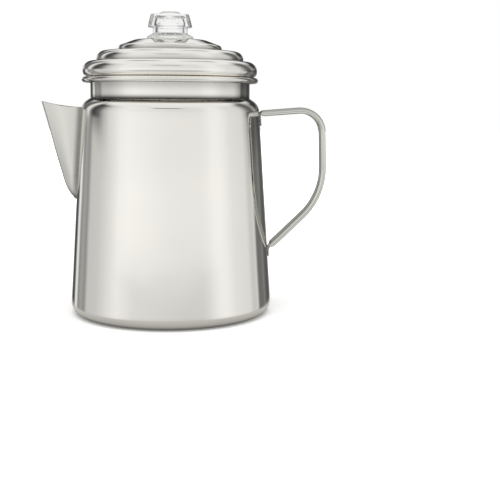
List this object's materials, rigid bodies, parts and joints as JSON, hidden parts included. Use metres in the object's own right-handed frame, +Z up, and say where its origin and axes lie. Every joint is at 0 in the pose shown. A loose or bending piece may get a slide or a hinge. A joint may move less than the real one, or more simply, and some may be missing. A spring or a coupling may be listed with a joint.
{
  "type": "coffee percolator",
  "caption": "Stovetop camping coffee percolator with tapered steel pot, V spout, strap handle, stepped lift-off lid, clear knob, perforated basket, spreader and pump stem.",
  "frame": {"origin": "centre of the base's resting plane", "axes": "+Z up along the pot's axis, handle towards +X, spout towards -X"},
  "size_m": [0.1619, 0.1152, 0.17],
  "materials": {
    "polished_steel": "mirror polished stainless steel",
    "satin_steel": "satin stainless steel",
    "clear_knob": "clear, polished",
    "silicone": "translucent silicone"
  },
  "bodies": {
    "pot": {"pot_body": "polished_steel", "base_pan": "polished_steel", "spout": "polished_steel", "handle_strap": "polished_steel"},
    "lid": {"lid_shell": "polished_steel", "lid_skirt": "satin_steel", "knob_gasket": "silicone"},
    "knob": {"knob": "clear_knob"},
    "stem": {"pump_tube": "satin_steel", "pump_bell": "satin_steel", "valve_retaining_ring": "satin_steel", "basket_stop_collar": "satin_steel"},
    "valve": {"valve_disc": "satin_steel"},
    "basket": {"basket": "satin_steel", "basket_sleeve": "satin_steel"},
    "spreader": {"spreader_plate": "satin_steel", "spreader_collar": "satin_steel"}
  },
  "joints": [
    {"name": "lid_lift", "type": "slide", "parent": "pot", "child": "lid", "axis": [0, 0, 1], "range_m": [0, 0.3]},
    {"name": "knob_twist", "type": "hinge", "parent": "lid", "child": "knob", "pos_m": [0, 0, 0.155], "axis": [0, 0, 1], "range_deg": [0, 90]},
    {"name": "stem_lift", "type": "slide", "parent": "pot", "child": "stem", "axis": [0, 0, 1], "range_m": [0, 0.16]},
    {"name": "valve_float", "type": "slide", "parent": "stem", "child": "valve", "axis": [0, 0, 1], "range_m": [0, 0.0016]},
    {"name": "basket_lift", "type": "slide", "parent": "stem", "child": "basket", "axis": [0, 0, 1], "range_m": [0, 0.07]},
    {"name": "spreader_lift", "type": "slide", "parent": "basket", "child": "spreader", "axis": [0, 0, 1], "range_m": [0, 0.03]}
  ],
  "couplings": [
    {"joint": "stem_lift", "follows": "lid_lift", "ratio": 0.5333},
    {"joint": "basket_lift", "follows": "lid_lift", "ratio": 0.2333},
    {"joint": "spreader_lift", "follows": "lid_lift", "ratio": 0.1}
  ]
}
